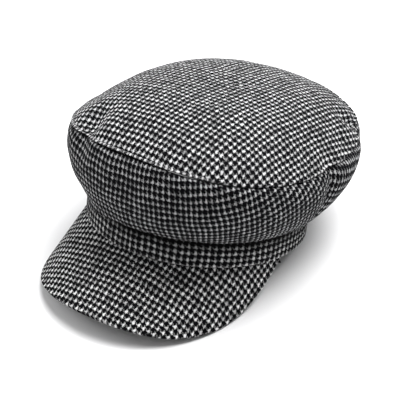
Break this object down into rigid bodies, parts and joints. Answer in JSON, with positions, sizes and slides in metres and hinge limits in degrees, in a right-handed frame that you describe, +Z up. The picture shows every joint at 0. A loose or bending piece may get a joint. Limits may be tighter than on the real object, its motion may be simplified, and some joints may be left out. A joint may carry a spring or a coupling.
{
  "type": "mariner cap",
  "caption": "Soft domed crown over a bulging side wall, an upright head band and an arched front peak, all in black and white dogtooth wool.",
  "frame": {"origin": "middle of the underside of the box round the cap as it rests", "axes": "+Z up from the surface it rests on, -Y to the front where the peak points, +X to the wearer's left"},
  "size_m": [0.2264, 0.3086, 0.1524],
  "materials": {
    "crown_cloth": "brushed wool in a small black and white dogtooth check",
    "side_cloth": "brushed wool in a small black and white dogtooth check",
    "band_cloth": "brushed wool in a small black and white dogtooth check, folded double",
    "peak_cloth": "brushed wool in a small black and white dogtooth check over a stiffener"
  },
  "bodies": {
    "root": {"crown_top": "crown_cloth", "side_front": "side_cloth", "side_back": "side_cloth", "band": "band_cloth", "peak": "peak_cloth"}
  },
  "joints": []
}
